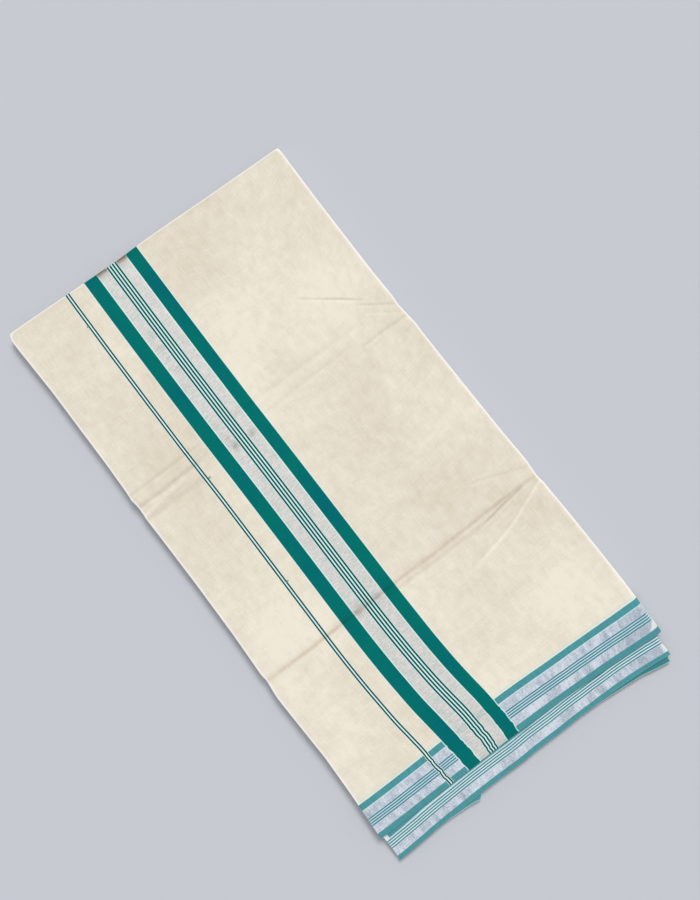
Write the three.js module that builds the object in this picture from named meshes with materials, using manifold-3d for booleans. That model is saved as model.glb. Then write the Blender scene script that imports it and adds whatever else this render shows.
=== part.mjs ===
// A cotton saree, folded flat as it lies on a shelf: one woven length with a border along each selvedge.
//
// The length is doubled, folded in half across its width, so that both selvedges lie at one end, and then
// folded in half along its length until it is one leaf wide. The last fold is the long edge at +X: the outer
// leaf lies on top, turns round that edge and runs back as the underside. Each stretch that shows is a wall
// of its own, and the hidden stretches are one solid that is layered at its edges.
//
// Millimetres, +Z up. The origin is at the centre of the underside. +Y points to the folded end, and the
// selvedges lie at the -Y end.
import * as THREE from "three";
import { mergeVertices } from "three/addons/utils/BufferGeometryUtils.js";
import Module from "manifold-3d";

// Driving dimensions.
const PACK_HEIGHT = 11; // top of the outer leaf above the surface that the pack lies on
const WALL = 1; // thickness of each leaf that shows
const GAP = 0.3; // between one piece and the next
const HIDDEN_SLABS = 3; // layers that the hidden stretches show at their edges
const SLAB_JOIN = 0.06; // how far one hidden layer runs into the next, so that they are one solid
const EDGE_ROUNDING = 0.45; // of a leaf's thickness, how far its faces stop short of its edge
const TURN_STEPS = 7; // facets round the long edge that the outer leaf turns round
const HEM_STEPS = 4; // rows of the outer leaf between its last whole section and its hem
const HALF_WIDTH = 158; // of the pack at its hem, where the hidden layers' columns are set out

const PITCH = WALL + GAP;
const TURN_RADIUS = PACK_HEIGHT / 2;
const HIDDEN_TOP = PACK_HEIGHT - 4 * PITCH;
const HIDDEN_BOTTOM = WALL + GAP;
const SLAB_HEIGHT = (HIDDEN_TOP - HIDDEN_BOTTOM) / HIDDEN_SLABS;

// The pack's sections from the folded end to the hem: its long edges, and how far its top dips there, where
// it was once folded in three.
const SECTIONS = [
  { y: 300, left: -165.0, right: 155.1, dip: 0 },
  { y: 242, left: -162.4, right: 154.5, dip: 0 },
  { y: 152, left: -161.3, right: 154.8, dip: 0 },
  { y: 123, left: -161.5, right: 155.8, dip: 0.1 },
  { y: 116, left: -161.8, right: 155.5, dip: 0.5 },
  { y: 112, left: -162.3, right: 155.1, dip: 0.3 },
  { y: 108, left: -161.4, right: 155.5, dip: 0.35 },
  { y: 104, left: -160.9, right: 155.8, dip: 0.8 },
  { y: 100, left: -160.8, right: 156.3, dip: 0.4 },
  { y: 96, left: -160.7, right: 156.7, dip: 0.6 },
  { y: 88, left: -161.2, right: 157.6, dip: 0.15 },
  { y: 72, left: -160.6, right: 157.5, dip: 0 },
  { y: 12, left: -159.4, right: 158.7, dip: 0 },
  { y: -47, left: -159.1, right: 160.2, dip: 0 },
  { y: -82, left: -159.8, right: 161.8, dip: 0.1 },
  { y: -91, left: -160.1, right: 161.3, dip: 0.25 },
  { y: -96, left: -159.6, right: 161.0, dip: 0.5 },
  { y: -100, left: -159.0, right: 160.7, dip: 1.2 },
  { y: -104, left: -159.4, right: 161.4, dip: 0.5 },
  { y: -108, left: -159.8, right: 162.2, dip: 0.25 },
  { y: -118, left: -160.6, right: 162.4, dip: 0.05 },
  { y: -148, left: -159.3, right: 163.6, dip: 0 },
  { y: -188, left: -157.4, right: 164.5, dip: 0 },
  { y: -228, left: -157.9, right: 165.2, dip: 0 },
  { y: -263, left: -158.4, right: 164.8, dip: 0 },
];
const HEM_ROWS = [-274, -280, -286, -292, -297]; // further rows of the leaves that reach past the outer hem

// The two ends of the outer leaf, from the left long edge to the right one.
const OUTER_ENDS = [
  { x: -159.0, hem: -277.0, fold: 312.3 },
  { x: -105, hem: -277.4, fold: 310.9 },
  { x: -57, hem: -277.8, fold: 309.6 },
  { x: -33, hem: -277.8, fold: 308.9 },
  { x: 0, hem: -277.8, fold: 309.6 },
  { x: 39, hem: -278.6, fold: 308.9 },
  { x: 87, hem: -281.6, fold: 307.8 },
  { x: 121, hem: -284.1, fold: 307.2 },
  { x: 159.0, hem: -285.7, fold: 306.5 },
];
const TURN_HEM = -285.4; // where the outer leaf's hem lies halfway round the turn
const UNDER_HEM = -271; // and where it lies on the underside
const UNDER_INSET = 1.5; // of the underside's free long edge, from the top one

// Each other leaf: the height of its place in the pack, counted down from the outer leaf, how far its long
// edges and its fold lie inside the outer leaf's, and its hem.
const LEAVES = [
  {
    name: "tucked_leaf",
    place: 1,
    leftInset: 6.5,
    rightInset: 7.5,
    foldInset: 1.8,
    hem: [
      { x: -152.4, y: -279.9 },
      { x: -83, y: -277.6 },
      { x: 30, y: -277.6 },
      { x: 87, y: -282.2 },
      { x: 121, y: -284.9 },
      { x: 157, y: -286.2 },
    ],
  },
  {
    name: "second_leaf",
    place: 2,
    leftInset: 1.8,
    rightInset: 6.4,
    foldInset: 1.0,
    hem: [
      { x: -157.1, y: -304.6 },
      { x: -108, y: -302.1 },
      { x: -59, y: -301.1 },
      { x: -13, y: -302.3 },
      { x: 37, y: -302.3 },
      { x: 88, y: -303.4 },
      { x: 158.3, y: -306.3 },
    ],
  },
  {
    name: "third_leaf",
    place: 3,
    cutLeft: -59,
    rightInset: 9.5,
    foldInset: 0.7,
    hem: [
      { x: -59, y: -300.6 },
      { x: 20, y: -301.4 },
      { x: 70, y: -303.2 },
      { x: 122, y: -308.8 },
      { x: 155.3, y: -312.3 },
    ],
  },
  {
    name: "turned_end",
    place: 3,
    leftInset: 2.3,
    cutRight: -60,
    cornerCut: 7, // the free corner is cut off this far along the hem
    foldInset: 0.7,
    hem: [
      { x: -156.6, y: -303.2 },
      { x: -94.5, y: -301.8 },
      { x: -67, y: -305.7 },
    ],
  },
];
const CORNER_ROW = -301.5; // where the turned end's cut corner starts

// The hidden layers, from the top one down: how far each lies inside the outer leaf's outline, and its hem.
// The ones that hold the longer half of the width reach as far as the second leaf does.
const HIDDEN_LAYERS = [
  { leftInset: 2.1, foldInset: 0.8, hem: -300.4 },
  { leftInset: 3.8, foldInset: 2.0, hem: -276.5 },
  { leftInset: 2.6, foldInset: 1.2, hem: -299.2 },
];
const LIP_INSET = 8; // of their right edge from the outer leaf's, where they reach past its hem
const LIP_START = -263;
const LIP_END = -280;

// Past the outer hem only half of the layers go on, so the pack sinks there. Heights above the surface, and
// how far a layer at that height has sunk at the end.
const SINK_START = -270;
const SINK_END = -296;
const SINK = [
  { z: 0, by: 0 },
  { z: HIDDEN_BOTTOM, by: HIDDEN_BOTTOM },
  { z: HIDDEN_BOTTOM + SLAB_HEIGHT, by: HIDDEN_BOTTOM },
  { z: HIDDEN_TOP - SLAB_HEIGHT, by: HIDDEN_BOTTOM + SLAB_HEIGHT },
  { z: PACK_HEIGHT, by: HIDDEN_BOTTOM + SLAB_HEIGHT },
];

// Reads a table at a value of its key column, straight between its rows and level past its ends.
function read(table, key, column, at) {
  const rows = table[0][key] < table[table.length - 1][key] ? table : [...table].reverse();
  const next = rows.findIndex((row) => row[key] >= at);
  if (next === 0) return rows[0][column];
  if (next < 0) return rows[rows.length - 1][column];
  const [a, b] = [rows[next - 1], rows[next]];
  return THREE.MathUtils.mapLinear(at, a[key], b[key], a[column], b[column]);
}

const leftEdge = (y) => read(SECTIONS, "y", "left", y);
const rightEdge = (y) => read(SECTIONS, "y", "right", y);
const foldEdge = (x) => read(OUTER_ENDS, "x", "fold", x);

// A point of the pack where it lies: its height comes down with the dips across the pack, less towards the
// underside, and with the sinking past the outer hem. Height 0 stays at 0.
function settled(x, y, z) {
  const dip = (read(SECTIONS, "y", "dip", y) * z) / PACK_HEIGHT;
  const sink = THREE.MathUtils.smoothstep(-y, -SINK_START, -SINK_END) * read(SINK, "z", "by", z);
  return new THREE.Vector3(x, y, z - dip - sink);
}

// A closed wall from its sections. Each section holds the points of its outer face and of its inner face,
// in the same order, and the rim points that round its first and last edge. firstRim and lastRim are the
// rows of points that round the wall's two ends.
function closedWall(sections, firstRim, lastRim) {
  const points = [];
  const faces = [];
  const add = (list) => list.map((point) => points.push(point) - 1);
  const quad = (a, b, c, d) => faces.push(a, b, c, a, c, d);

  const rings = sections.map(({ outer, inner, startRim, endRim }) => {
    return add([startRim, ...outer, endRim, ...[...inner].reverse()]);
  });
  rings.slice(1).forEach((ring, j) => {
    ring.forEach((_, i) => {
      const k = (i + 1) % ring.length;
      quad(rings[j][i], ring[i], ring[k], rings[j][k]);
    });
  });

  const closeEnd = (ring, rim, flip) => {
    const middle = add(rim);
    const n = rim.length;
    const upper = ring.slice(1, n + 1);
    const lower = ring.slice(n + 2).reverse();
    const face = (a, b, c) => faces.push(...(flip ? [a, c, b] : [a, b, c]));
    const patch = (a, b, c, d) => {
      face(a, b, c);
      face(a, c, d);
    };
    for (let i = 0; i + 1 < n; i++) {
      patch(upper[i + 1], upper[i], middle[i], middle[i + 1]);
      patch(middle[i + 1], middle[i], lower[i], lower[i + 1]);
    }
    face(ring[0], middle[0], upper[0]);
    face(ring[0], lower[0], middle[0]);
    face(ring[n + 1], upper[n - 1], middle[n - 1]);
    face(ring[n + 1], middle[n - 1], lower[n - 1]);
  };
  closeEnd(rings[0], firstRim, true);
  closeEnd(rings[rings.length - 1], lastRim, false);

  const geometry = new THREE.BufferGeometry().setFromPoints(points);
  geometry.setIndex(faces);
  return geometry;
}

// One flat leaf, from its fold to its hem. Its columns are the hem's points, carried along the leaf.
function flatLeaf({ top, thickness, left, right, foldInset, rows, hem }) {
  const round = thickness * EDGE_ROUNDING;
  const [bottom, middle] = [top - thickness, top - thickness / 2];
  const [first, last] = [hem[0], hem[hem.length - 1]];
  const columns = hem.map(({ x, y }) => ({ share: (x - first.x) / (last.x - first.x), hem: y }));

  const section = (yAt) => {
    const place = ({ share }, z, inset) => {
      const guess = THREE.MathUtils.lerp(first.x, last.x, share);
      const y = yAt(guess, share);
      return settled(THREE.MathUtils.lerp(left(y) + inset, right(y) - inset, share), y, z);
    };
    return {
      outer: columns.map((column) => place(column, top, round)),
      inner: columns.map((column) => place(column, bottom, round)),
      startRim: place(columns[0], middle, 0),
      endRim: place(columns[columns.length - 1], middle, 0),
      rim: columns.map((column) => place(column, middle, round)),
    };
  };
  const foldAt = (inset) => (x) => foldEdge(x) - foldInset - inset;
  const hemAt = (inset) => (x) => read(hem, "x", "y", x) + inset;

  const fold = section(foldAt(round));
  const whole = rows.map((y) => section(() => y));
  const end = section(hemAt(round));
  return closedWall([fold, ...whole, end], section(foldAt(0)).rim, section(hemAt(0)).rim);
}

// The outer leaf: a wall whose section lies on top, turns round the right long edge and runs back below.
function outerLeaf() {
  const round = WALL * EDGE_ROUNDING;
  const lastSection = SECTIONS[SECTIONS.length - 1].y;
  const [firstEnd, lastEnd] = [OUTER_ENDS[0], OUTER_ENDS[OUTER_ENDS.length - 1]];

  // Each column gives its point at a depth below the outer face, and its two ends.
  const onTop = OUTER_ENDS.map(({ x, hem, fold }) => {
    const share = (x - firstEnd.x) / (lastEnd.x - firstEnd.x);
    const across = (y, inset) => {
      return THREE.MathUtils.lerp(leftEdge(y) + inset, rightEdge(y) - TURN_RADIUS, share);
    };
    return { hem, fold, at: (y, depth, inset) => [across(y, inset), PACK_HEIGHT - depth] };
  });
  const turning = Array.from({ length: TURN_STEPS - 1 }, (_, i) => {
    const part = (i + 1) / TURN_STEPS;
    const angle = Math.PI * (0.5 - part);
    const hem =
      part < 0.5
        ? THREE.MathUtils.lerp(lastEnd.hem, TURN_HEM, part * 2)
        : THREE.MathUtils.lerp(TURN_HEM, UNDER_HEM, part * 2 - 1);
    const at = (y, depth) => {
      const radius = TURN_RADIUS - depth;
      const x = rightEdge(y) - TURN_RADIUS + radius * Math.cos(angle);
      return [x, TURN_RADIUS + radius * Math.sin(angle)];
    };
    return { hem, fold: lastEnd.fold, at };
  });
  const below = [1, 0.5, 0].map((share) => {
    const across = (y, inset) => {
      return THREE.MathUtils.lerp(leftEdge(y) + UNDER_INSET + inset, rightEdge(y) - TURN_RADIUS, share);
    };
    const fold = foldEdge(across(0, 0));
    return { hem: UNDER_HEM, fold, at: (y, depth, inset) => [across(y, inset), depth] };
  });
  const columns = [...onTop, ...turning, ...below];
  const last = columns[columns.length - 1];

  const section = (yAt) => {
    const place = (column, depth, inset) => {
      const y = yAt(column);
      const [x, z] = column.at(y, depth, inset);
      return settled(x, y, z);
    };
    return {
      outer: columns.map((column) => place(column, 0, round)),
      inner: columns.map((column) => place(column, WALL, round)),
      startRim: place(columns[0], WALL / 2, 0),
      endRim: place(last, WALL / 2, 0),
      rim: columns.map((column) => place(column, WALL / 2, round)),
    };
  };
  const towardsHem = (part) => section(({ hem }) => THREE.MathUtils.lerp(lastSection, hem + round, part));

  const sections = [
    section(({ fold }) => fold - round),
    ...SECTIONS.map(({ y }) => section(() => y)),
    ...Array.from({ length: HEM_STEPS }, (_, i) => towardsHem((i + 1) / HEM_STEPS)),
  ];
  return closedWall(sections, section(({ fold }) => fold).rim, section(({ hem }) => hem).rim);
}

// One of the other leaves that show, from its row of the table.
function showingLeaf({ place, leftInset, rightInset, cutLeft, cutRight, cornerCut = 0, foldInset, hem }) {
  const longest = Math.max(...hem.map(({ y }) => y));
  const rows = [...SECTIONS.map(({ y }) => y), ...HEM_ROWS].filter((y) => y > longest + 1.5);
  if (cornerCut) rows.push(CORNER_ROW);
  const lowest = Math.min(...hem.map(({ y }) => y));
  const cornerAt = (y) => cornerCut * THREE.MathUtils.clamp((CORNER_ROW - y) / (CORNER_ROW - lowest), 0, 1);
  return flatLeaf({
    top: PACK_HEIGHT - place * PITCH,
    thickness: WALL,
    left: (y) => cutLeft ?? leftEdge(y) + leftInset,
    right: (y) => (cutRight ?? rightEdge(y) - rightInset) - cornerAt(y),
    foldInset,
    rows,
    hem,
  });
}

// The hidden layers, each rounded at its edges and as wide as the turn of the outer leaf leaves room for.
function hiddenLayer({ leftInset, foldInset, hem }, index) {
  const top = HIDDEN_TOP - index * SLAB_HEIGHT;
  const thickness = SLAB_HEIGHT + (index + 1 < HIDDEN_SLABS ? SLAB_JOIN : 0);
  const room = TURN_RADIUS - WALL - GAP;
  const furthest = Math.max(top - TURN_RADIUS, TURN_RADIUS - top + thickness);
  const reach = Math.sqrt(Math.max(0, room ** 2 - furthest ** 2));
  const rows = [...SECTIONS.map(({ y }) => y), ...HEM_ROWS].filter((y) => y > hem + 1.5);
  const lipAt = (y) => THREE.MathUtils.smoothstep(-y, -LIP_START, -LIP_END);
  return flatLeaf({
    top,
    thickness,
    left: (y) => leftEdge(y) + leftInset,
    right: (y) => rightEdge(y) - THREE.MathUtils.lerp(TURN_RADIUS - reach, LIP_INSET, lipAt(y)),
    foldInset,
    rows,
    hem: [-HALF_WIDTH, 0, HALF_WIDTH].map((x) => ({ x, y: hem })),
  });
}

// Joins closed geometries that run into each other into one solid.
async function joined(geometries) {
  const wasm = await Module();
  wasm.setup();
  const solids = geometries.map((geometry) => {
    const merged = mergeVertices(geometry);
    const mesh = new wasm.Mesh({
      numProp: 3,
      vertProperties: merged.getAttribute("position").array,
      triVerts: new Uint32Array(merged.index.array),
    });
    return new wasm.Manifold(mesh);
  });
  const { vertProperties, triVerts } = solids.reduce((sum, solid) => sum.add(solid)).getMesh();
  const geometry = new THREE.BufferGeometry();
  geometry.setAttribute("position", new THREE.BufferAttribute(new Float32Array(vertProperties), 3));
  geometry.setIndex(new THREE.BufferAttribute(new Uint32Array(triVerts), 1));
  return geometry;
}

const creamCotton = { color: 0xeee6d4, roughness: 0.9, metalness: 0 };
const silverBorder = { color: 0xd3d5de, roughness: 0.55, metalness: 0.2 };
const greenSelvedge = { color: 0x4ba09b, roughness: 0.85, metalness: 0 };

function piece(name, geometry, finish) {
  geometry.computeVertexNormals();
  const mesh = new THREE.Mesh(geometry, new THREE.MeshStandardMaterial(finish));
  mesh.name = name;
  return mesh;
}

const FINISHES = {
  tucked_leaf: greenSelvedge,
  second_leaf: silverBorder,
  third_leaf: greenSelvedge,
  turned_end: greenSelvedge,
};

const saree = new THREE.Group();
saree.add(piece("outer_leaf", outerLeaf(), creamCotton));
LEAVES.forEach((leaf) => saree.add(piece(leaf.name, showingLeaf(leaf), FINISHES[leaf.name])));
saree.add(piece("folded_layers", await joined(HIDDEN_LAYERS.map(hiddenLayer)), creamCotton));

export default saree;
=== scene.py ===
"""A cream cotton saree with green and silver borders, folded flat into a long pack.

Every leaf of the pack is a wall of doubled cloth: folded over at its long edges and at the folded end, and
open between its two cloths at the hem. Lengths in the tables are millimetres in the part's own frame: +Y to
the folded end, -Y to the selvedges, +X to the long edge that the outer leaf turns round.
"""
from collections import namedtuple

import bmesh
import bpy
import numpy as np
from mathutils import Matrix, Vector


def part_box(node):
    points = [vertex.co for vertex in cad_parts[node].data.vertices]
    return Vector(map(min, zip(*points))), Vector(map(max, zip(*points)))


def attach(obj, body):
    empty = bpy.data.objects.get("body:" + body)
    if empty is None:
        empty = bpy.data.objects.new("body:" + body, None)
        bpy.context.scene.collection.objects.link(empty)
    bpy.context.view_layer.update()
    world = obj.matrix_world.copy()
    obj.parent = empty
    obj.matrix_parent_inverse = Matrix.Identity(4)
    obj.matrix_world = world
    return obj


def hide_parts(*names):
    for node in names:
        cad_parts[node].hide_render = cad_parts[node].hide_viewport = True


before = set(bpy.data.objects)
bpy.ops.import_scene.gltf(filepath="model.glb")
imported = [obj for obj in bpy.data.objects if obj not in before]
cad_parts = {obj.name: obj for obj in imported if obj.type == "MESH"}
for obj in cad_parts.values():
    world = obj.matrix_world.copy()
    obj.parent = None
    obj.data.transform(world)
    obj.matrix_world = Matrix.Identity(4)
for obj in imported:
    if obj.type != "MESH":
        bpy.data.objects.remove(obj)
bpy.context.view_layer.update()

MM = 0.001
PACK_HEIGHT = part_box("outer_leaf")[1][2] / MM
WALL = 1.0  # thickness of a leaf that shows, two cloths and the air between them
GAP = 0.15  # between one leaf and the next
PITCH = WALL + GAP
CLOTH = 0.3  # thickness of the cloth
HEM_POCKET = 4.0  # how far in the gap between a leaf's two cloths can be seen at its hem
TURN_RADIUS = PACK_HEIGHT / 2
HALF_WIDTH = 159.0  # of the pack, where the columns of the grids are set out


# ---------------------------------------------------------------- tables and curves

def columns(names, rows):
    """A table with named columns, as one array for each name."""
    return dict(zip(names.split(), np.array(rows, float).T))


def read(table, key, column, at):
    """The table's value at `at`, straight between its rows."""
    order = np.argsort(table[key])
    return np.interp(at, table[key][order], table[column][order])


def soft_read(table, key, column, at, spread=2.0):
    """The mean of five reads over a short spread, so that the table's corners are rounded."""
    return np.mean([read(table, key, column, at + spread * k) for k in (-1, -0.5, 0, 0.5, 1)], axis=0)


def smoothstep(low, high, value):
    """0 below low, 1 above high, and 3t^2 - 2t^3 between them."""
    t = np.clip((value - low) / (high - low), 0, 1)
    return t * t * (3 - 2 * t)


def graded(low, high, step, fine=()):
    """Places from low to high, a step apart, and closer in the fine zones (centre, half width, step)."""
    s = np.linspace(low, high, 6001)
    size = np.full_like(s, step)
    for centre, half, close in fine:
        away = np.clip((np.abs(s - centre) - half) / (1.5 * half), 0, 1)
        size = np.minimum(size, close + (step - close) * away)
    place = np.concatenate([[0], np.cumsum(np.diff(s) / ((size[1:] + size[:-1]) / 2))])
    count = int(np.ceil(place[-1]))
    return np.interp(np.linspace(0, place[-1], count + 1), place, s)


# The long edges of the pack, from the folded end to the hem, with the notches that old creases leave.
SECTIONS = columns("y left right", [
    (313, -162.2, 154.9), (308, -164.6, 155.0), (300, -165.0, 155.1), (242, -162.4, 154.5),
    (152, -161.3, 154.8), (123, -161.5, 155.8), (116, -161.8, 155.5), (112, -162.3, 155.1),
    (108, -161.4, 155.5), (104, -160.9, 155.8), (100, -160.8, 156.3), (96, -160.7, 156.7),
    (88, -161.2, 157.6), (72, -160.6, 157.5), (12, -159.4, 158.7), (-47, -159.1, 160.2),
    (-82, -159.8, 161.8), (-91, -160.1, 161.3), (-96, -159.6, 161.0), (-100, -159.0, 160.7),
    (-104, -159.4, 161.4), (-108, -159.8, 162.2), (-118, -160.6, 162.4), (-148, -159.3, 163.6),
    (-188, -157.4, 164.5), (-228, -157.9, 165.2), (-246, -158.5, 165.0), (-262, -159.1, 164.9),
    (-272, -159.5, 164.8), (-280, -159.2, 164.7),
])
OUTER_ENDS = columns("x hem fold", [
    (-159, -277.4, 312.3), (-105, -277.4, 310.9), (-57, -277.2, 309.6), (-33, -277.1, 308.9),
    (0, -276.9, 309.6), (39, -277.9, 308.9), (87, -280.0, 307.8), (121, -282.3, 307.2),
    (140, -283.9, 306.9), (159, -285.6, 306.5),
])
TURN_HEM = -285.4  # where the outer leaf's hem lies halfway round the turn
UNDER_HEM = -271.0  # and where it lies on the underside
UNDER_INSET = 1.5  # how much further in the underside's left edge lies

TUCKED_HEM = columns("x y", [
    (-152.4, -281.6), (-140, -281.2), (-110, -279.1), (-83, -278.6), (10, -279.2), (50, -279.2),
    (87, -281.0), (121, -283.8), (157, -286.2),
])
SECOND_HEM = columns("x y", [
    (-157.1, -304.6), (-140, -304.0), (-120, -303.0), (-108, -302.4), (-59, -301.7), (-36, -301.9),
    (-12, -302.6), (6, -301.9), (30, -302.3), (50, -302.0), (78, -302.5), (100, -303.2), (120, -304.2),
    (140, -305.7), (158.3, -307.9),
])
THIRD_HEM = columns("x y", [
    (-59, -300.6), (20, -301.4), (70, -303.2), (84, -304.1), (102, -305.6), (114, -306.8), (126, -308.0),
    (138, -310.4), (150, -312.7), (155.3, -313.4),
])
THIRD_LEFT = -59.0
TURNED_HEM = columns("x y", [
    (-156.6, -303.0), (-115, -302.6), (-96, -303.6), (-84, -304.2), (-72, -305.3), (-66, -306.6),
])
TURNED_CUT = columns("y x", [(-306.6, -66.0), (-302.2, -60.0), (300, -60.0)])

# The creases of the top, each with its line from left to right. A trough has a depth above 0 and a ridge one
# below, and the flank that faces the folded end lies on the line. stain is how brown the crease has become,
# and shade is painted shade, how much darker the crease is painted where the cloth is pinched, or, below 0,
# a painted highlight along its lit flank.
Crease = namedtuple("Crease", "depth width stain shade line")
LOWER_LINE = [
    (-178, -100.4), (-153, -100.2), (-140, -99.8), (-120, -100.0), (-108, -100.6), (-97, -100.0),
    (-50, -99.3), (0, -98.6), (20, -98.8), (35, -99.1), (60, -98.4), (90, -98.0), (120, -97.6),
    (182, -97.4),
]
CREASES = [
    # the sharp one across the lower part, and the shallow valley round it
    Crease(0.50, 1.6, 0.26, 0.0, LOWER_LINE),
    Crease(0.35, 8.0, 0.0, 0.0, LOWER_LINE),
    # its brown, which is wider in the middle
    Crease(0.0, 3.2, 0.55, 0.0, [(-190, -100.4), (-153, -100.2), (-108, -100.6), (-66, -99.4)]),
    Crease(0.0, 5.2, 0.42, 0.0, [(-92, -99.4), (0, -99.4), (40, -99.8), (76, -99.2)]),
    Crease(0.0, 2.3, 0.36, 0.0, [(54, -98.8), (90, -98.2), (120, -97.8), (190, -97.6)]),
    # its branches on the right
    Crease(0.25, 1.9, 0.1, 0.3, [(-20, -104.6), (46, -105.2), (80, -105.4), (106, -103.0)]),
    Crease(0.55, 1.1, 0.3, 1.0, [(89, -105.7), (100, -104.3), (110, -102.8), (120, -101.3), (147, -98.9)]),
    Crease(0.8, 1.7, 0.0, 0.0, [
        (50, -133.4), (80, -127.1), (100, -123.1), (110, -120.6), (120, -117.6), (130, -113.6), (140, -109.6),
        (150, -105.8), (176, -95.6),
    ]),
    # a painted highlight along the lit flank of the crease above: its shade is below 0
    Crease(0.0, 1.5, 0.0, -0.85, [
        (50, -136.0), (80, -129.7), (100, -125.5), (110, -123.0), (120, -120.0), (130, -116.0), (140, -112.0),
        (150, -108.2), (176, -98.0),
    ]),
    Crease(0.45, 1.1, 0.1, 0.05, [
        (98, -66.8), (112, -69.0), (120, -72.5), (130, -76.3), (140, -80.3), (172, -91.0),
    ]),
    # the softer ones across the upper part
    Crease(0.55, 1.8, 0.12, 0.15, [(-184, 117.2), (-150, 116.8), (-96, 117.6), (-70, 117.0)]),
    Crease(0.90, 2.0, 0.15, 0.45, [(-184, 102.6), (-150, 103.0), (-135, 102.4), (-118, 103.4), (-80, 104.4)]),
    # a ridge, with a painted highlight along it: its shade is below 0
    Crease(-0.80, 2.1, 0.0, -0.35, [(-172, 89.4), (-150, 94.2), (-130, 97.4), (-104, 99.0)]),
    Crease(0.60, 2.6, 0.1, 0.4, [(-184, 88.4), (-140, 88.2), (-86, 89.4)]),
    Crease(0.50, 3.0, 0.05, 0.1, [(-60, 120.5), (30, 121.4), (126, 120.0)]),
    Crease(0.50, 1.9, 0.05, 0.0, [(-20, 103.4), (14, 105.0), (50, 106.6), (104, 107.0)]),
    Crease(0.70, 1.5, 0.1, 0.25, [(95, 98.9), (104, 99.2), (125, 99.8), (178, 98.0)]),
    Crease(0.55, 1.3, 0.0, 0.1, [(124, 86.0), (142, 86.6), (180, 84.6)]),
    # the fine slanting ones at the upper right
    Crease(0.55, 1.0, 0.05, 0.4, [
        (74, 178.5), (85, 170.0), (97, 160.8), (110, 151.2), (120, 143.2), (128, 136.5),
    ]),
    Crease(0.0, 0.8, 0.05, 1.0, [(97, 160.8), (110, 151.2), (120, 143.2), (134, 131.6)]),
    Crease(0.45, 1.0, 0.05, 0.4, [(115, 140.0), (129, 130.0), (142, 121.2), (155, 111.8), (172, 99.6)]),
    Crease(0.35, 1.4, 0.0, 0.0, [(120, 128.0), (138, 115.0), (156, 102.0)]),
]
CREASE_FADE = 0.16  # share of a crease's length over which each end fades out
CREASE_FLANK = 1.25  # distance from a crease's line to the bottom of its trough, as a share of its width
# Tarnished spots of the metal threads where old creases cross them.
TARNISH = columns("x y reach strength", [
    (-54, 231, 3.2, 0.22), (-53, 214, 3.6, 0.25), (-55, 201, 2.8, 0.18), (-52, 187, 3.4, 0.25),
    (-55, 168, 3.0, 0.18), (-32, 205, 3.0, 0.12), (-56, 121, 3.0, 0.2), (-54, 105, 3.6, 0.25),
    (-52.5, 94.5, 4.2, 0.42), (-32.5, 95, 3.8, 0.34), (-49.5, -94.5, 3.4, 0.1), (-52.5, -101.5, 3.0, 0.35),
    (-29, -99.5, 3.0, 0.15),
])
# how far in from the folded end the painted shade on the metal reaches
END_SHADE_REACH = 3.6

# Past the outer hem only half of the layers go on, so the pack sinks there: how much at each height.
SINK_START, SINK_END = -270.0, -296.0
SINK = columns("height sink", [(0, 0), (1.45, 1.45), (3.1, 1.45), (4.75, 3.1), (11, 3.1)])
ROLL_REACH = 7.0  # from the edges that the top bends down towards


# The pack's left and right edges at y, and its fold and the outer leaf's hem at x.

def pack_left(y):
    return soft_read(SECTIONS, "y", "left", y)


def pack_right(y):
    return soft_read(SECTIONS, "y", "right", y)


def pack_fold(x):
    return soft_read(OUTER_ENDS, "x", "fold", x, 8.0)


def outer_hem(x):
    return soft_read(OUTER_ENDS, "x", "hem", x, 8.0)


def crease_strength(crease, x, y, flank=0.0):
    """exp(-(n / width)^2), where n is the distance from the crease's line, or from where its trough lies, and
    faded out towards its ends."""
    (x0, y0), (x1, y1) = crease.line[0], crease.line[-1]
    line_x, line_y = np.array(crease.line).T
    n = (y - np.interp(x, line_x, line_y)) * (x1 - x0) / np.hypot(x1 - x0, y1 - y0)
    t = (x - x0) / (x1 - x0)
    ends = smoothstep(0, CREASE_FADE, t) * smoothstep(0, CREASE_FADE, 1 - t)
    return ends * np.exp(-((n / crease.width + flank) ** 2))


def crease_fall(x, y):
    """How far the top falls in its creases."""
    return sum(c.depth * crease_strength(c, x, y, CREASE_FLANK) for c in CREASES if c.depth)


def stain(x, y):
    """How brown the cloth is along its creases."""
    return sum(c.stain * crease_strength(c, x, y) for c in CREASES if c.stain)


def shade(x, y):
    """The painted shade where a crease pinches the cloth, or, below 0, the painted highlight along a crease's
    lit flank.
    """
    return sum(c.shade * crease_strength(c, x, y) for c in CREASES if c.shade)


def tarnish_and_end_shade(x, y):
    """How much tarnish and shade the metal threads are painted with: tarnished spots, each strength *
    exp(-(distance / reach)^2), and painted shade along the folded end, where the fold turns away from the
    light."""
    spots = sum(
        strength * np.exp(-((x - sx) ** 2 + (y - sy) ** 2) / reach**2)
        for sx, sy, reach, strength in zip(*TARNISH.values()))
    from_end = np.maximum(pack_fold(x) - y, 0)
    # the tarnished spots, and the painted shade along the folded end
    return spots + 1.1 * np.exp(-(from_end / END_SHADE_REACH) ** 1.3)


def swell_fall(x, y):
    """The slow rise and fall of a pressed pack: three long waves that cross each other."""
    return (0.14 * np.sin(x / 41 + y / 97 + 0.6) * np.sin(y / 63 - x / 150)
            + 0.10 * np.sin(x / 23 - y / 70 + 2.1) * np.sin(y / 37 + 0.4)
            + 0.05 * np.sin(x / 13 + y / 19))


def roll_fall(x, y):
    """The top bends down towards its folded left edge and its folded end, each as
    exp(-(distance / ROLL_REACH)^2)."""
    left = x - pack_left(y)
    end = soft_read(OUTER_ENDS, "x", "fold", x) - y
    return 0.55 * np.exp(-((left / ROLL_REACH) ** 2)) + 0.45 * np.exp(-((end / ROLL_REACH) ** 2))


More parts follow.
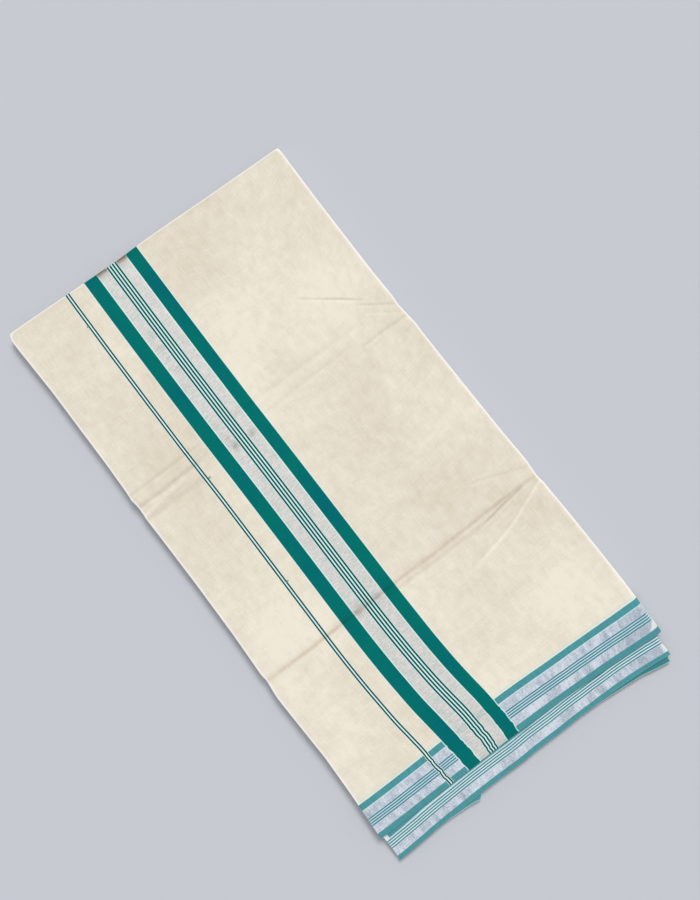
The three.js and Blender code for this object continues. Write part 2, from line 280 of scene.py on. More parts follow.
def hem_ripple(x, y):
    """Small waves along the border, where the tight metal threads pull the cloth in."""
    near = smoothstep(232, 262, -y)
    wave = (0.09 * np.sin(x / 3.9 + 1.3 * np.sin(x / 17)) + 0.08 * np.sin(x / 7.1 + y / 30 + 0.8)
            + 0.07 * np.sin(x / 2.3 + 2 * np.sin(x / 31)) * np.sin(x / 26))
    return near * wave


def settled(x, y, z):
    """A point of the pack where it lies, in metres: its height comes down with the creases and the slow
    waves, less towards the underside, and with the sinking past the outer hem."""
    share = z / PACK_HEIGHT
    fall = crease_fall(x, y) + swell_fall(x, y) + roll_fall(x, y) + hem_ripple(x, y)
    down = share * fall + read(SINK, "height", "sink", z) * smoothstep(-SINK_START, -SINK_END, -y)
    return np.stack([x, y, np.maximum(z - down, 0)], axis=-1) * MM


# ---------------------------------------------------------------- leaves as grids

def flat_path(shares, left, right, top):
    """The outer face of a flat leaf, as places and outward normals in the x-z plane, left to right."""
    def path(y, inset):
        x_left, x_right = left(y) + inset, right(y) - inset
        x = x_left + (x_right - x_left) * shares
        z = np.full_like(x, top)
        return x, z, np.zeros_like(x), np.ones_like(x), x
    return path, ((-1, 0), (1, 0))


def turning_path(top_shares, turn_steps, under_steps, left, right):
    """The outer face of the leaf that lies on top, turns round the right long edge, a half circle of
    TURN_RADIUS, and runs back below. Its last value is the distance along the cloth."""
    turn = np.pi * (0.5 - np.arange(1, turn_steps) / turn_steps)
    under_shares = np.linspace(1, 0, under_steps)
    part = np.concatenate([top_shares, np.ones(turn_steps - 1), under_shares])
    angle = np.concatenate([np.full(len(top_shares), np.pi / 2), turn, np.full(under_steps, -np.pi / 2)])
    below = np.concatenate([np.zeros(len(top_shares) + turn_steps - 1), np.ones(under_steps)])
    cos, sin = np.cos(angle), np.sin(angle)

    def path(y, inset):
        x_left = left(y) + inset + UNDER_INSET * below
        x_turn = right(y) - TURN_RADIUS
        x_line = x_left + (x_turn - x_left) * part
        x = x_line + TURN_RADIUS * cos
        z = TURN_RADIUS * (1 + sin) + 0 * x
        along = x_line + TURN_RADIUS * (np.pi / 2 - angle) + 2 * (x_turn - x_line) * below
        return x, z, cos + 0 * x, sin + 0 * x, along
    return path, ((-1, 0), (-1, 0))


RIM_STEPS = 4
BEND_REACH = 60.0  # how far from its ends a leaf's rows begin to bend to them
EDGE_START = 0.8  # added to the distance from the left edge and the fold, whose painted edge highlights are narrower
EDGE_REACH = 20.0  # the furthest that the edge mark counts
Grid = namedtuple("Grid", "points u v marks")
MARKS = ("stain", "shade", "tarnish_and_end_shade", "edge")


def leaf_grid(path, rim_directions, rows, insets, thickness, hem, fold, hem_at, fold_at):
    """A leaf as a grid of closed rings, one for each row along the leaf.

    A ring goes along the outer face, round the far rim, back along the inner face and round the near rim. A
    row's inset brings its ring in from both faces and both rims. The rims are half circles. hem and fold give
    each column's ends, and the rows near them bend to meet them.
    """
    middle = thickness / 2
    to_hem = smoothstep(-hem_at - BEND_REACH, -hem_at, -rows)[:, None]
    to_fold = smoothstep(fold_at - BEND_REACH, fold_at, rows)[:, None]
    y = rows[:, None] + to_hem * (hem - hem_at) + to_fold * (fold - fold_at)
    x, z, nx, nz, along = path(y, middle)
    inset = insets[:, None]
    angles = np.linspace(0, np.pi, RIM_STEPS + 2)[1:-1]

    def rim(column, direction, turn):
        radius = middle - inset
        end = np.stack([x[:, [column]], z[:, [column]]])
        normal = np.stack([nx[:, [column]], nz[:, [column]]])
        sideways = np.array(direction, float)[:, None, None]
        return end - middle * normal + radius * (np.cos(turn) * normal + np.sin(turn) * sideways)

    outer = np.stack([x - inset * nx, z - inset * nz])
    depth = thickness - inset
    under = np.stack([x - depth * nx, z - depth * nz])[:, :, ::-1]
    far, near = rim(-1, rim_directions[1], angles), rim(0, rim_directions[0], angles[::-1])
    ring_x, ring_z = np.concatenate([outer, far, under, near], axis=2)

    def round_ring(a):
        last, first = np.repeat(a[:, -1:], RIM_STEPS, 1), np.repeat(a[:, :1], RIM_STEPS, 1)
        return np.concatenate([a, last, a[:, ::-1], first], axis=1)

    ring_y = round_ring(y)
    u, v = cloth_coordinates(round_ring(along), ring_y, ring_y - round_ring(np.broadcast_to(hem, y.shape)))
    left, right = ring_x.min(axis=1, keepdims=True), ring_x.max(axis=1, keepdims=True)
    to_side = np.minimum(ring_x - left + EDGE_START, right - ring_x)
    to_edge = np.minimum(to_side, round_ring(fold - y) + middle + EDGE_START)
    upper = smoothstep(PACK_HEIGHT / 2, PACK_HEIGHT * 0.8, ring_z)
    marks = [upper * mark(ring_x, ring_y) for mark in (stain, shade, tarnish_and_end_shade)]
    marks.append(np.clip(to_edge, 0, EDGE_REACH))
    return Grid(settled(ring_x, ring_y, ring_z), u, v, np.stack(marks, axis=-1))


NOSE_TURNS = (25, 50, 70, 90)  # degrees round the nose of the fold


def leaf_rows(thickness, cloth, hem_at, fold_at, step, fine):
    """Rows along a leaf with their insets: the pocket between the two cloths at the hem, the hem's rounded
    edges, the body, and the round nose of the fold."""
    edge = cloth / 2
    middle = thickness / 2
    hem_rows = hem_at + np.array([HEM_POCKET + 0.5, HEM_POCKET, edge, 0.0, edge])
    hem_insets = np.array([middle, cloth, cloth, edge, 0.0])
    body = graded(hem_at + 1.0, fold_at - middle, step, fine)
    turn = np.radians(NOSE_TURNS)
    rows = np.concatenate([hem_rows, body, fold_at - middle + middle * np.sin(turn)])
    insets = np.concatenate([hem_insets, np.zeros(len(body)), middle * (1 - np.cos(turn))])
    return rows, insets


MERGE_DISTANCE = 2e-6  # metres, well under the finest step of a grid
SLIVER = 1e-7


def make_piece(name, node, grids, material):
    """One closed smooth mesh from grids of rings: neighbouring rows are joined all round, and the first and
    last rows, which are drawn in to a line, close when doubles are merged. The cloth's own coordinates, in
    metres, go into its UV map, and the marks into attributes. The edge mark is the distance to the edge."""
    faces, offset = [], 0
    for grid in grids:
        index = np.arange(grid.u.size).reshape(grid.u.shape) + offset
        a, b = index[:-1], index[1:]
        faces.append(np.stack([a, np.roll(a, -1, 1), np.roll(b, -1, 1), b], axis=-1).reshape(-1, 4))
        offset += grid.u.size
    points, u, v, marks = (
        np.concatenate([column.reshape(-1, *column.shape[2:]) for column in columns_of])
        for columns_of in zip(*grids))

    mesh = bpy.data.meshes.new(name)
    mesh.from_pydata(points, [], np.concatenate(faces).tolist())
    loops = np.empty(len(mesh.loops), np.int32)
    mesh.loops.foreach_get("vertex_index", loops)
    layer = mesh.uv_layers.new(name="cloth")
    layer.data.foreach_set("uv", (np.stack([u, v], axis=-1) * MM)[loops].ravel())
    for attribute, values in zip(MARKS, marks.T):
        mark = mesh.attributes.new(attribute, "FLOAT", "POINT")
        mark.data.foreach_set("value", np.ascontiguousarray(values))
    solid = bmesh.new()
    solid.from_mesh(mesh)
    bmesh.ops.remove_doubles(solid, verts=solid.verts, dist=MERGE_DISTANCE)
    bmesh.ops.dissolve_degenerate(solid, edges=solid.edges, dist=SLIVER)
    bmesh.ops.recalc_face_normals(solid, faces=solid.faces)
    solid.to_mesh(mesh)
    solid.free()
    mesh.polygons.foreach_set("use_smooth", np.ones(len(mesh.polygons), bool))
    mesh.materials.append(material)
    piece = bpy.data.objects.new(name, mesh)
    bpy.context.scene.collection.objects.link(piece)
    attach(piece, "root")
    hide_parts(node)


# ---------------------------------------------------------------- shader maths

def linear(red, green, blue):
    """A colour given as it looks on screen, 0 to 255, as the shader's linear colour."""
    c = np.array([red, green, blue]) / 255
    return (*np.where(c <= 0.04045, c / 12.92, ((c + 0.055) / 1.055) ** 2.4), 1.0)


class Value:
    """A number that varies over the surface. Its operators add Math nodes."""

    def __init__(self, paint, socket):
        self.paint = paint
        self.socket = socket

    def math(self, operation, *others, clamp=False):
        inputs = dict(enumerate((self, *others)))
        return self.paint.value("ShaderNodeMath", {"operation": operation, "use_clamp": clamp}, inputs)

    def __add__(self, other):
        return self.math("ADD", other)

    def __sub__(self, other):
        return self.math("SUBTRACT", other)

    def __rsub__(self, other):
        return (self * -1.0) + other

    def __mul__(self, other):
        return self.math("MULTIPLY", other)

    def __truediv__(self, other):
        return self.math("DIVIDE", other)

    def __abs__(self):
        return self.math("ABSOLUTE")

    __radd__ = __add__
    __rmul__ = __mul__

    def clamped(self):
        """The number held between 0 and 1."""
        return self.math("ADD", 0.0, clamp=True)

    def above(self, edge, soft):
        """A mask: 0 below the edge and 1 above it, over a soft stretch."""
        return self.math("MULTIPLY_ADD", 1 / soft, 0.5 - edge / soft, clamp=True)

    def below(self, edge, soft):
        """A mask: 1 below the edge and 0 above it, over a soft stretch."""
        return self.math("MULTIPLY_ADD", -1 / soft, 0.5 + edge / soft, clamp=True)

    def between(self, low, high, soft):
        return self.above(low, soft) * self.below(high, soft)

    def or_(self, other):
        """Where either mask is."""
        return self.math("MAXIMUM", other)


class Paint:
    """A material's nodes. node() adds any node: its type, its settings, then its sockets' values or links."""

    def __init__(self, name):
        self.material = bpy.data.materials.new(name)
        self.material.use_nodes = True
        self.tree = self.material.node_tree
        self.tree.nodes.clear()

    def node(self, kind, settings=None, sockets=None):
        made = self.tree.nodes.new(kind)
        for key, setting in (settings or {}).items():
            setattr(made, key, setting)
        for key, content in (sockets or {}).items():
            socket = made.inputs[key] if isinstance(key, int) else self.find(made.inputs, key)
            content = content.socket if isinstance(content, Value) else content
            if isinstance(content, bpy.types.NodeSocket):
                self.tree.links.new(content, socket)
            else:
                socket.default_value = content
        return made

    @staticmethod
    def find(sockets, key):
        return next(s for s in sockets if key in (s.identifier, s.name) and s.enabled)

    def value(self, kind, settings=None, sockets=None, output=0):
        outputs = self.node(kind, settings, sockets).outputs
        return Value(self, outputs[output] if isinstance(output, int) else self.find(outputs, output))

    def mix(self, factor, below, above):
        """The colour below, covered by the colour above as far as the factor says."""
        sockets = {"Factor_Float": factor, "A_Color": below, "B_Color": above}
        return self.find(self.node("ShaderNodeMix", {"data_type": "RGBA"}, sockets).outputs, "Result_Color")

    def multiplied(self, factor, colour, by):
        """The colour multiplied by another as far as the factor says."""
        settings = {"data_type": "RGBA", "blend_type": "MULTIPLY"}
        sockets = {"Factor_Float": factor, "A_Color": colour, "B_Color": by}
        return self.find(self.node("ShaderNodeMix", settings, sockets).outputs, "Result_Color")

    def tint(self, colour, strength):
        """The colour made darker or lighter by a number round 1."""
        grey = self.node("ShaderNodeCombineColor", {}, {"Red": strength, "Green": strength, "Blue": strength})
        return self.multiplied(1.0, colour, grey.outputs[0])

    def vector(self, x, y, z=0.0):
        return self.node("ShaderNodeCombineXYZ", {}, {"X": x, "Y": y, "Z": z}).outputs[0]

    def noise(self, place, detail=2.0, roughness=0.5):
        """Noise from 0 to 1 over a place whose unit is one cell."""
        sockets = {"Vector": place, "Scale": 1.0, "Detail": detail, "Roughness": roughness}
        return self.value("ShaderNodeTexNoise", {"noise_dimensions": "3D"}, sockets, "Fac")

    def finish(self, colour, roughness, metallic, normal, constants):
        sockets = {"Base Color": colour, "Roughness": roughness, "Metallic": metallic, "Normal": normal}
        shader = self.node("ShaderNodeBsdfPrincipled", {}, {**sockets, **constants})
        self.node("ShaderNodeOutputMaterial", {}, {"Surface": shader.outputs[0]})
        return self.material


# ---------------------------------------------------------------- the cloth's pattern

CREAM = linear(238, 229, 211)
CREAM_SHADE = linear(218, 207, 187)
# a painted highlight where the cloth turns to the light at its folded edges and at the border's right corner
PAINTED_EDGE_HIGHLIGHT = linear(255, 253, 250)
PALE_GREEN = linear(212, 220, 208)
MINT = linear(220, 242, 236)
BAND_GREENS = linear(0, 115, 100), linear(0, 102, 109)
BAND_LINE = linear(0, 72, 72)
BAND_BETWEEN = linear(206, 240, 234)
BAND_SILVERS = linear(234, 215, 212), linear(181, 201, 193)
BORDER_GREEN = linear(66, 144, 151)
DEEP_GREEN = linear(44, 126, 130)
BORDER_LINE = linear(42, 114, 124)
BORDER_BETWEEN = linear(188, 219, 228)
FRAYED_BETWEEN = linear(212, 240, 242)
# the border's metal, from its darker silver to a painted glint
BORDER_SILVER_AND_GLINT = linear(162, 173, 187), linear(230, 236, 244)
BROWN = linear(190, 164, 138)
# the brown of the tarnish, and of the painted shade on the metal at the folded end
TARNISH_AND_SHADE_BROWN = linear(140, 122, 100)
KNOT_GREEN = linear(70, 130, 112)
SPOT_GREEN = linear(205, 208, 176)

# The border, counted from the selvedge, and the bands, counted from the left edge of the first wide one.
SELVEDGE_GREEN = (-9.0, 5.6)  # from past the very edge, wherever the weave wanders
BORDER_METAL = (5.6, 30.75)
BORDER_LINES = {"first": 14.4, "pitch": 2.25, "count": 4, "thick": 1.15}
UPPER_GREEN = (30.75, 36.85)
PALE_LINE = (37.4, 40.0)
# The second leaf's selvedge is frayed: narrower, more so towards the right, with lines further apart and
# pale threads above them.
FRAYED_SHIFT = 0.9
FRAYED_RIGHT_SHIFT = 0.8
FRAYED_LINES = {**BORDER_LINES, "pitch": 2.4}
FRAYED_THREADS = (22.6, 26.6)
LIGHT_SIDE = 0.95  # width of the light line on each side of a green stripe
DOUBLE_LINE = {"first": -21.3, "pitch": 2.78, "count": 2, "thick": 1.55}
BANDS = ((-0.8, 13.3), (47.9, 61.0))
BAND_METAL = (13.3, 47.9)
BAND_LINES = {"first": 26.15, "pitch": 3.05, "count": 4, "thick": 1.7}

# How the bands run along the leaf: where their left edge lies, and their whole width, which the border
# draws in.
BAND_RUN = columns("y edge width", [
    (304, -75.5, 60.1), (285, -75.5, 60.2), (242, -75.4, 60.2), (182, -74.9, 60.1), (122, -74.1, 60.0),
    (62, -72.8, 59.9), (2, -71.9, 60.0), (-57, -71.2, 60.2), (-112, -70.6, 60.4), (-137, -69.9, 60.4),
    (-162, -68.8, 60.2), (-187, -67.0, 60.0), (-202, -65.8, 60.2), (-217, -63.8, 60.0), (-227, -62.5, 60.0),
    (-237, -61.2, 59.6), (-243, -60.5, 59.2), (-250, -59.8, 59.0), (-259, -58.3, 58.3), (-267, -57.7, 57.7),
    (-276, -56.9, 56.6),
])
BAND_WIDTH = 60.4
# How far the pair of lines and the group in the middle stray to the right of that.
BAND_STRAY = columns("y pair middle", [
    (304, -0.5, 0.0), (122, -0.4, 0.1), (60, 0.0, 0.1), (-60, 0.0, 0.1), (-130, 0.1, 0.3), (-162, 0.2, 0.7),
    (-190, 0.2, 1.0), (-217, 0.2, 1.4), (-235, 0.1, 1.6), (-243, -0.5, 1.3), (-250, -1.3, 1.0),
    (-264, -2.0, 0.8), (-272, -1.8, 0.3), (-277, -1.8, -0.5),
])
# The border grows wider towards the right long edge.
BORDER_RUN = columns("x width", [
    (-159, 36.3), (-110, 35.9), (10, 37.4), (50, 36.8), (90, 37.1), (120, 37.8), (140, 38.6), (156, 39.3),
])
BORDER_WIDTH = 36.85

# Thick knots in the threads, and a washed-out spot, where they lie on the top.
KNOTS = ((-90.0, 85.0), (-97.9, 272.6), (-88.9, -37.4))
WASHED_SPOT = (156.5, -101.0)


def cloth_coordinates(along, y, from_hem):
    """Where a point lies in the weave: across the bands, and up from the selvedge."""
    u = (along - soft_read(BAND_RUN, "y", "edge", y, 6.0)) * BAND_WIDTH / read(BAND_RUN, "y", "width", y)
    pair = soft_read(BAND_STRAY, "y", "pair", y, 3.0) * (1 - smoothstep(-17, -5, u))
    in_middle = smoothstep(13, 24, u) * (1 - smoothstep(38, 58, u))
    middle = soft_read(BAND_STRAY, "y", "middle", y, 3.0) * in_middle
    v = from_hem * BORDER_WIDTH / read(BORDER_RUN, "x", "width", along)
    return u - pair - middle, v


def on_outer_leaf(x, y):
    """The cloth coordinates of a place on the top of the pack."""
    return cloth_coordinates(x, y, y - outer_hem(x))


def lines(place, first, pitch, count, thick):
    """A group of thin lines, and the whole stretch that they lie in."""
    soft = 0.35
    phase = (place - first) / pitch
    off = abs(phase - phase.math("ROUND")) * pitch
    stretch = place.between(first - thick * 0.8, first + pitch * (count - 1) + thick * 0.8, soft)
    return off.below(thick / 2, soft) * stretch, stretch


def round_spot(u, v, place, half_u, half_v):
    """An ellipse with soft edges at a place on the outer leaf."""
    at_u, at_v = on_outer_leaf(*place)
    across, up = (u - float(at_u)) * (1 / half_u), (v - float(at_v)) * (1 / half_v)
    return (across * across + up * up).below(1.0, 0.9)


class Weave:
    """A point's place in the cloth, in millimetres, and how its threads look there. raw_u, across the bands,
    and raw_v, up from the selvedge, are as the cloth is set out. Hand weaving never runs quite straight, and
    the border pulls the bands about, which gives u and v."""

    def __init__(self, paint, frayed):
        self.paint = paint
        uv = paint.node("ShaderNodeUVMap", {"uv_map": "cloth"})
        split = paint.node("ShaderNodeSeparateXYZ", {}, {"Vector": uv.outputs[0]})
        self.raw_u = Value(paint, split.outputs["X"]) * (1 / MM)
        self.raw_v = Value(paint, split.outputs["Y"]) * (1 / MM)

        wander_v = self.noise(0.05, 0.02, 3.0) - 0.5
        jitter_v = self.noise(0.9, 0.2, 7.0) - 0.5
        self.v = self.raw_v + wander_v * 0.5 + jitter_v * 0.25
        if frayed:
            self.v = self.v + FRAYED_SHIFT + self.raw_u.above(200.0, 40.0) * FRAYED_RIGHT_SHIFT
        wander_u = self.noise(0.03, 0.17, 5.0) - 0.5
        jitter_u = self.noise(0.3, 1.1, 9.0) - 0.5
        pull = self.raw_v.below(34.0, 8.0)
        self.u = self.raw_u + wander_u * (pull * 2.6) + jitter_u * 0.22

        # Threads, slubs, and the mottling of the layers below, whose broad cloud is partly painted uneven
        # light.
        self.warp = self.noise(0.9, 0.05, 1.0, 3.0, 0.6)
        self.weft = self.noise(0.05, 0.9, 2.0, 3.0, 0.6)
        self.mottle = self.noise(0.10, 0.08, 4.0, 4.0, 0.65)
        self.cloud_and_painted_falloff = self.noise(0.010, 0.008, 6.0)
        self.grain = self.noise(0.9, 0.9, 8.0, 2.0, 0.7)
        self.fine_grain = self.noise(2.2, 2.2, 8.5, 1.0)
        self.bars = self.noise(0.10, 0.035, 11.0, 4.0, 0.8)

    def noise(self, per_u, per_v, seed, detail=2.0, roughness=0.5):
        """Noise from 0 to 1, with so many cells in a millimetre across and up. Each seed gives its own."""
        place = self.paint.vector(self.raw_u * per_u, self.raw_v * per_v, seed)
        return self.paint.noise(place, detail, roughness)


THREAD_RELIEF = 0.22 * MM

# A colour so far, and how much of it is metal thread, green thread and bands.
Look = namedtuple("Look", "colour metal green bands")


def cream_ground(paint, at):
    """Cream threads over the mottling of the layers below, whose broad patches are partly painted uneven
    light, with a pale green line beside the border.
    """
    threads = (at.warp + at.weft - 1.0) * 0.8 + (at.grain - 0.5) * 0.8
    depth = (at.mottle - 0.5) * 1.5 + (at.cloud_and_painted_falloff - 0.5) * 2.0 + threads
    colour = paint.mix((depth + 0.42).clamped(), CREAM, CREAM_SHADE)
    return paint.mix(at.v.between(*PALE_LINE, 1.4) * 0.5, colour, PALE_GREEN)


def silver_border(paint, at, frayed):
    """The border's metal: the threads' own streaks with painted glints and sheen over them, the painted sheen
    duller towards the right, with its group of thin lines, and where those lie.
    """
    painted_glint = at.noise(0.8, 0.7, 12.0, 2.0, 0.7)
    duller = at.raw_u.above(205.0, 60.0)
    # light and dark streaks: partly the metal threads, partly painted glints and sheen, less towards the
    # right
    streaks = (at.bars - 0.5) * (2.7 - duller) + (painted_glint - 0.5) * 1.7
    painted_shine = (streaks - duller * 0.28 + 0.48).clamped()
    fine, stretch = lines(at.v, **(FRAYED_LINES if frayed else BORDER_LINES))
    colour = paint.mix(painted_shine, *BORDER_SILVER_AND_GLINT)
    colour = paint.mix(stretch * 0.8, colour, FRAYED_BETWEEN if frayed else BORDER_BETWEEN)
    return paint.mix(fine * 0.95, colour, BORDER_LINE), stretch


def bordered(paint, at, edge, selvedge_green, fringe, frayed):
    """The cream ground with the border along its selvedge: silver between two green strips."""
    metal = at.v.between(*BORDER_METAL, 0.3)
    silver, stretch = silver_border(paint, at, frayed)
    colour = paint.mix(metal, cream_ground(paint, at), silver)
    colour = paint.mix(at.v.between(UPPER_GREEN[0] - 0.8, UPPER_GREEN[1] + 0.9, 0.5) * 0.6, colour, MINT)
    green = at.v.between(*UPPER_GREEN, 0.4).or_(at.v.between(*SELVEDGE_GREEN, 0.4))
    thread_light = (at.warp - 0.5) * 0.7 + (at.grain - 0.5) * 0.9 + (at.bars - 0.5) * 0.35 + 1.0
    colour = paint.mix(green * 0.97, colour, paint.tint(selvedge_green, thread_light))
    very_edge = at.raw_v.below(0.6, 0.8).or_(edge.below(0.7, 0.8) * green)
    colour = paint.mix(very_edge * fringe, colour, MINT)
    if frayed:
        colour = paint.mix(at.v.between(*FRAYED_THREADS, 0.5) * 0.8, colour, FRAYED_BETWEEN)
        # a painted highlight near the leaf's folded edges: at its right end below the lines, and all along
        # above them
        end = (at.raw_u.above(100.0, 5.0) * at.v.below(13.0, 1.5)).or_(at.raw_v.above(21.5, 1.0))
        colour = paint.mix(edge.below(3.2, 3.2) * end * (1.0 - green) * 0.6, colour, PAINTED_EDGE_HIGHLIGHT)
    return Look(colour, metal * (1.0 - stretch * 0.6), green, 0.0)


def silver_band(paint, at, cross):
    """The bands' metal, which lets the border under it show a little, with four lines in its middle, and
    where those lie."""
    speckle = ((cross - 0.5) * 3.2 + (at.grain - 0.5) * 2.2 + 0.5).clamped()
    see_through = at.v.between(*UPPER_GREEN, 1.0) * 0.16 + at.v.below(4.0, 3.0) * 0.12
    colour = paint.mix(see_through, paint.mix(speckle, *BAND_SILVERS), BORDER_GREEN)
    colour = paint.tint(colour, (at.mottle - 0.5) * 0.3 + (at.fine_grain - 0.5) * 0.2 + 1.02)
    fine, stretch = lines(at.u, **BAND_LINES)
    colour = paint.mix(stretch, colour, BAND_BETWEEN)
    return paint.mix(fine, colour, BAND_LINE), stretch


def banded(paint, at, look):
    """The bands across everything: a pair of lines, a wide green band, silver, and a wide green band again.
    Gives the new look, and where the bands' silver is."""
    cross = at.noise(0.16, 0.65, 13.0, 3.0, 0.75)
    colour, stretch = silver_band(paint, at, cross)
    inside = at.u.between(*BAND_METAL, 0.3)
    wide = at.u.between(*BANDS[0], 0.3).or_(at.u.between(*BANDS[1], 0.3))
    sides = [at.u.between(low - LIGHT_SIDE, high + LIGHT_SIDE, 0.3) for low, high in BANDS]
    beside = sides[0].or_(sides[1])
    colour = paint.mix(beside * 0.9, colour, MINT)
    band_light = (cross - 0.5) * 0.40 + (at.grain - 0.5) * 0.30 + 1.0
    hue = at.noise(0.02, 0.016, 14.0).above(0.5, 0.5)
    colour = paint.mix(wide, colour, paint.tint(paint.mix(hue, *BAND_GREENS), band_light))
    double, pair = lines(at.u, **DOUBLE_LINE)
    colour = paint.mix(pair, colour, MINT)
    colour = paint.mix(double, colour, BAND_LINE)

    bands = inside.or_(wide).or_(pair).or_(beside * 0.8)
    silver = inside * (1.0 - wide) * (1.0 - stretch)
    metal = look.metal * (1.0 - bands) + silver * 0.8
    green = look.green * (1.0 - bands) + wide
    return Look(paint.mix(bands, look.colour, colour), metal, green, bands), silver


def top_marks_and_highlight(paint, at, edge, end_shade_and_tarnish, silver, colour):
    """What shows on the top alone: tarnish, with painted shade on the metal at the folded end, thick knots, a
    washed-out spot, and a painted highlight at the border's right corner, where the tight metal threads turn
    to the light."""
    # tarnished spots, and painted shade on the metal along the folded end
    colour = paint.multiplied((end_shade_and_tarnish * (silver * 0.9 + 0.1)).clamped(), colour, TARNISH_AND_SHADE_BROWN)
    for knot in KNOTS:
        colour = paint.mix(round_spot(at.raw_u, at.raw_v, knot, 1.5, 1.0) * 0.75, colour, KNOT_GREEN)
    colour = paint.mix(round_spot(at.raw_u, at.raw_v, WASHED_SPOT, 3.4, 2.4) * 0.6, colour, SPOT_GREEN)
    # a painted highlight at the border's right corner and along the right edge
    corner_highlight = (edge + at.v).below(15.6, 2.4) * at.v.between(6.0, 16.5, 0.6)
    side_highlight = edge.below(2.4, 3.0) * at.v.between(6.0, 30.0, 0.6) * 0.5
    return paint.mix(corner_highlight.or_(side_highlight) * at.raw_u.above(100.0, 5.0) * 0.7, colour, PAINTED_EDGE_HIGHLIGHT)


def cloth_finish(name, selvedge_green, has_bands=False, fringe=0.1, frayed=False):
    """The saree's cloth: fine cream cotton, a woven border along the selvedge, and, where has_bands says so,
    the bands across it. fringe is how pale the very edge of the selvedge is."""
    paint = Paint(name)
    at = Weave(paint, frayed)
    brown, painted_crease_shading, end_shade_and_tarnish, edge = (
        paint.value("ShaderNodeAttribute", {"attribute_name": mark}, {}, "Fac") for mark in MARKS)
    look = bordered(paint, at, edge, selvedge_green, fringe, frayed)
    colour = look.colour
    if has_bands:
        look, silver = banded(paint, at, look)
        colour = top_marks_and_highlight(paint, at, edge, end_shade_and_tarnish, silver, look.colour)
        brown = brown * (0.42 + silver * 0.12)
    else:
        brown = brown * 0.3

    blotch = at.noise(0.3, 0.4, 21.0, 3.0, 0.7)
    colour = paint.multiplied((brown * (blotch * 0.75 + 0.55)).clamped(), colour, BROWN)
    # painted shade in the pinched creases, and a painted highlight where the shade mark is below 0
    colour = paint.tint(colour, 1.0 - painted_crease_shading * 0.14)
    # a painted highlight along the folded edges, weaker on the border and none on the green and the bands
    plain = at.v.above(UPPER_GREEN[1], 0.6) * 0.85 + 0.15
    rim = edge.below(2.0, 2.4) * plain * (1.0 - look.green) * (1.0 - look.bands) * 0.9
    colour = paint.mix(rim, colour, PAINTED_EDGE_HIGHLIGHT)

    raised = (at.warp + at.weft) * 0.5 + at.grain * 0.4 + look.metal * 0.3 + look.green * 0.2
    bump = paint.node("ShaderNodeBump", {}, {"Strength": 0.5, "Distance": THREAD_RELIEF, "Height": raised})
    roughness = 0.88 - look.metal * 0.38 - look.green * 0.04
    constants = {"Sheen Weight": 0.02, "Sheen Roughness": 0.5, "Specular IOR Level": 0.05}
    return paint.finish(colour, roughness, look.metal * 0.3, bump.outputs[0], constants)


# ---------------------------------------------------------------- pieces

# How far apart a grid's rows and columns are, and the zones where they are closer, as graded() takes them.
# The outer leaf is the finest, for its creases.
OUTER_ROW_STEP = 5.0
OUTER_ROWS = (
    (-102, 8, 0.8), (-118, 10, 1.5), (-76, 10, 1.2), (102, 10, 1.2), (144, 34, 1.0), (-262, 20, 2.2),
)
OUTER_COLUMN_STEP = 4.2
OUTER_COLUMNS = ((112, 38, 1.2), (-157, 3, 1.5))
FLAT_ROW_STEP = 14.0
FLAT_ROWS = ((-100, 9, 2.4), (106, 14, 4.0), (-286, 18, 2.5))
FLAT_COLUMN_STEP = 5.0
UNDER_STEPS = 12
TURN_STEPS = 12
HEM_AT = -280.0  # where the outer leaf's rows end before they bend to its hem
FOLD_AT = 309.0  # and where every leaf's do before they bend to its fold


def outer_leaf(material):
    """The leaf on top, which turns round the right long edge and runs back below."""
    top_x = graded(-HALF_WIDTH, HALF_WIDTH, OUTER_COLUMN_STEP, OUTER_COLUMNS)
    shares = (top_x + HALF_WIDTH) / (2 * HALF_WIDTH)
    path, directions = turning_path(shares, TURN_STEPS, UNDER_STEPS, pack_left, pack_right)
    turn_part = np.arange(1, TURN_STEPS) / TURN_STEPS
    hem_line = outer_hem(top_x)
    hem_turn = np.interp(turn_part, [0, 0.5, 1], [hem_line[-1], TURN_HEM, UNDER_HEM])
    hem = np.concatenate([hem_line, hem_turn, np.full(UNDER_STEPS, UNDER_HEM)])
    under_x = np.linspace(HALF_WIDTH, -HALF_WIDTH, UNDER_STEPS)
    nominal = np.concatenate([top_x, np.full(TURN_STEPS - 1, HALF_WIDTH), under_x])
    rows, insets = leaf_rows(WALL, CLOTH, HEM_AT, FOLD_AT, OUTER_ROW_STEP, OUTER_ROWS)
    grid = leaf_grid(path, directions, rows, insets, WALL, hem, pack_fold(nominal), HEM_AT, FOLD_AT)
    make_piece(
        "outer_leaf_cloth", node="outer_leaf",
        grids=[grid], material=material)


def flat_leaf(top, thickness, cloth, left, right, hem, fold_inset, columns_x):
    """A flat leaf's grid, with its columns where columns_x sets them out."""
    shares = (columns_x - columns_x[0]) / (columns_x[-1] - columns_x[0])
    path, directions = flat_path(shares, left, right, top)
    hem_line = hem(columns_x)
    hem_at = float(np.mean(hem_line))
    fold_at = FOLD_AT - fold_inset
    rows, insets = leaf_rows(thickness, cloth, hem_at, fold_at, FLAT_ROW_STEP, FLAT_ROWS)
    fold_line = pack_fold(columns_x) - fold_inset
    return leaf_grid(path, directions, rows, insets, thickness, hem_line, fold_line, hem_at, fold_at)


